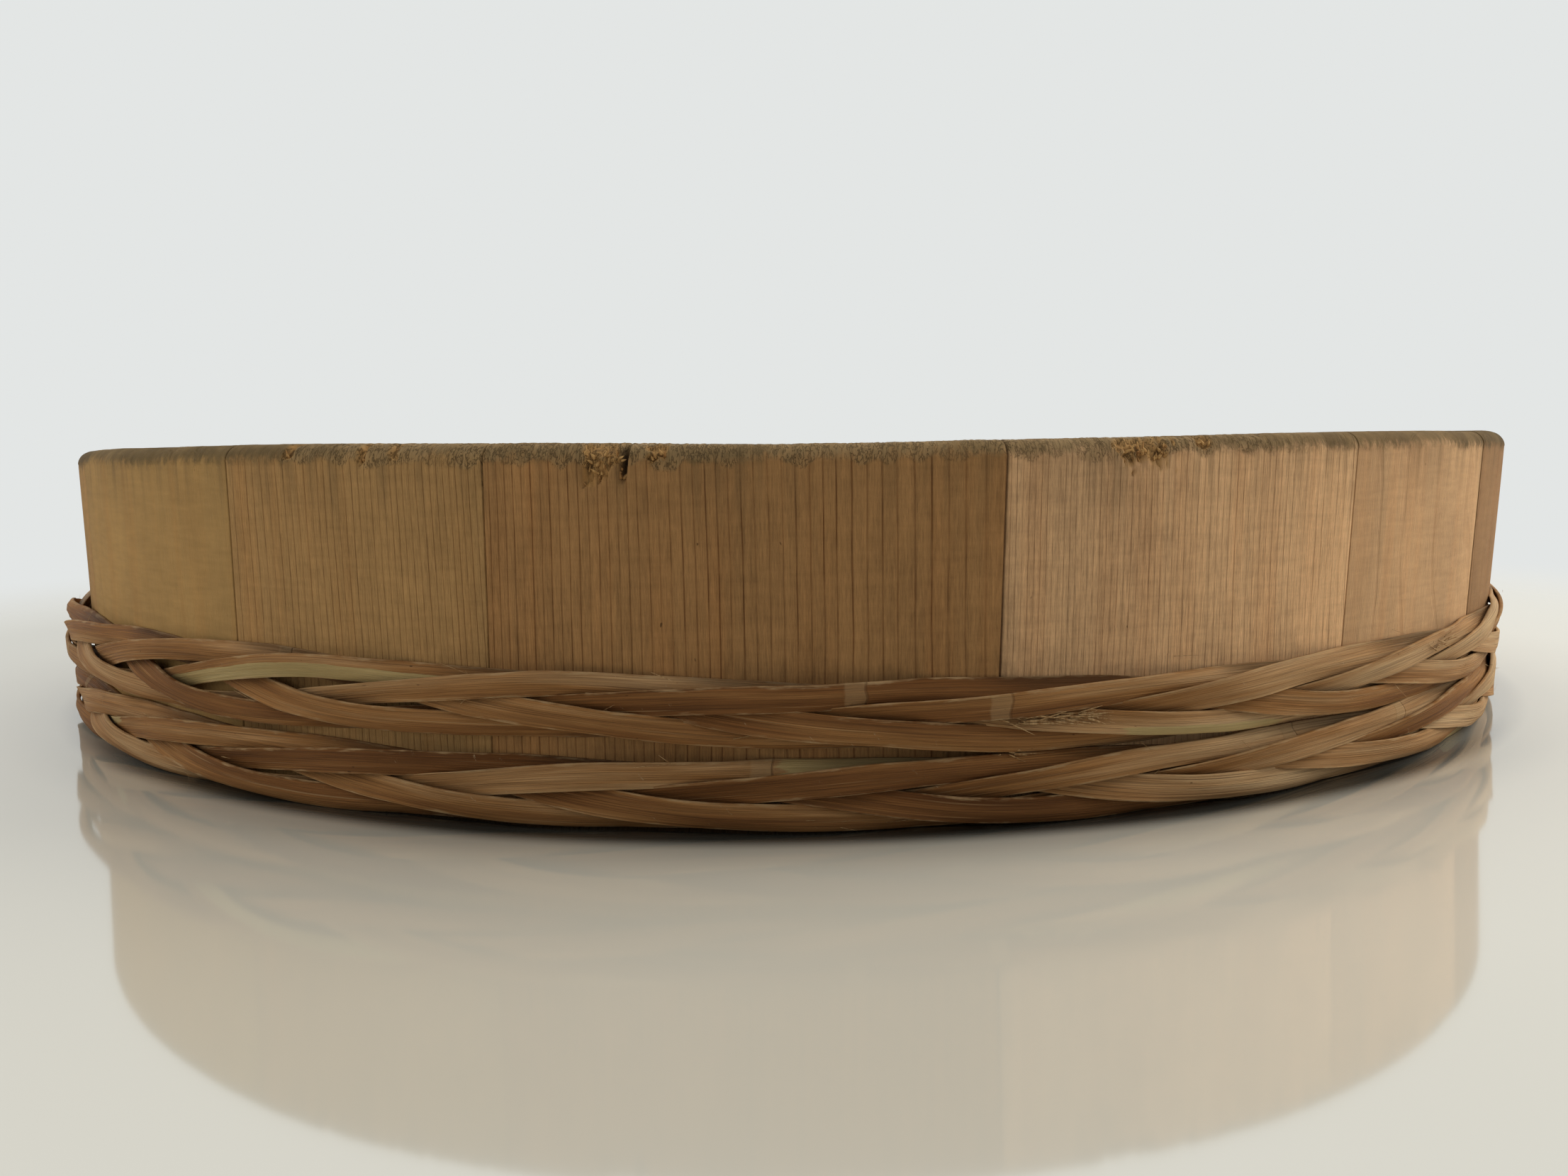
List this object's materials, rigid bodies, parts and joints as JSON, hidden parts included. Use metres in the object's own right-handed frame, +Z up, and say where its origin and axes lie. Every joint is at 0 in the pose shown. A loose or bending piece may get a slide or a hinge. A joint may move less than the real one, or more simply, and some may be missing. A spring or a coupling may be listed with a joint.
{
  "type": "steamer basket",
  "caption": "Low round coopered steamer basket: wooden staves held by plaited bamboo hoops, with bearers and a loose slatted bamboo mat that lifts out.",
  "frame": {"origin": "centre of the ring, on the surface that the basket stands on", "axes": "+Z up through the middle of the ring, -Y towards the front, +X to the right seen from the front"},
  "size_m": [0.3701, 0.3702, 0.0606],
  "materials": {
    "stave_wood": "bare planed softwood, darkened by steam, worn at the rim",
    "hoop_bamboo": "split bamboo, aged reddish brown, dull sheen",
    "bearer_wood": "bare sawn softwood",
    "slat_bamboo": "split bamboo with its skin on one side, satin",
    "twine": "twisted plant fibre, matt"
  },
  "bodies": {
    "basket": {"stave_01": "stave_wood", "stave_02": "stave_wood", "stave_03": "stave_wood", "stave_04": "stave_wood", "stave_05": "stave_wood", "stave_06": "stave_wood", "stave_07": "stave_wood", "stave_08": "stave_wood", "stave_09": "stave_wood", "stave_10": "stave_wood", "stave_11": "stave_wood", "stave_12": "stave_wood", "stave_13": "stave_wood", "stave_14": "stave_wood", "stave_15": "stave_wood", "stave_16": "stave_wood", "stave_17": "stave_wood", "stave_18": "stave_wood", "lower_hoop_strip_1": "hoop_bamboo", "lower_hoop_strip_2": "hoop_bamboo", "lower_hoop_strip_3": "hoop_bamboo", "lower_hoop_strip_4": "hoop_bamboo", "lower_hoop_strip_5": "hoop_bamboo", "upper_hoop_strip_1": "hoop_bamboo", "upper_hoop_strip_2": "hoop_bamboo", "upper_hoop_strip_3": "hoop_bamboo", "upper_hoop_strip_4": "hoop_bamboo", "upper_hoop_strip_5": "hoop_bamboo", "bearer_left": "bearer_wood", "bearer_right": "bearer_wood"},
    "mat": {"mat_slat_01": "slat_bamboo", "mat_slat_02": "slat_bamboo", "mat_slat_03": "slat_bamboo", "mat_slat_04": "slat_bamboo", "mat_slat_05": "slat_bamboo", "mat_slat_06": "slat_bamboo", "mat_slat_07": "slat_bamboo", "mat_slat_08": "slat_bamboo", "mat_slat_09": "slat_bamboo", "mat_slat_10": "slat_bamboo", "mat_slat_11": "slat_bamboo", "mat_slat_12": "slat_bamboo", "mat_slat_13": "slat_bamboo", "mat_slat_14": "slat_bamboo", "mat_slat_15": "slat_bamboo", "mat_slat_16": "slat_bamboo", "mat_slat_17": "slat_bamboo", "mat_slat_18": "slat_bamboo", "mat_slat_19": "slat_bamboo", "mat_slat_20": "slat_bamboo", "mat_slat_21": "slat_bamboo", "mat_twine_1a": "twine", "mat_twine_1b": "twine", "mat_twine_2a": "twine", "mat_twine_2b": "twine", "mat_twine_3a": "twine", "mat_twine_3b": "twine", "mat_twine_4a": "twine", "mat_twine_4b": "twine"}
  },
  "joints": [
    {"name": "mat_lift", "type": "slide", "parent": "basket", "child": "mat", "axis": [0, 0, 1], "range_m": [0, 0.09]}
  ]
}
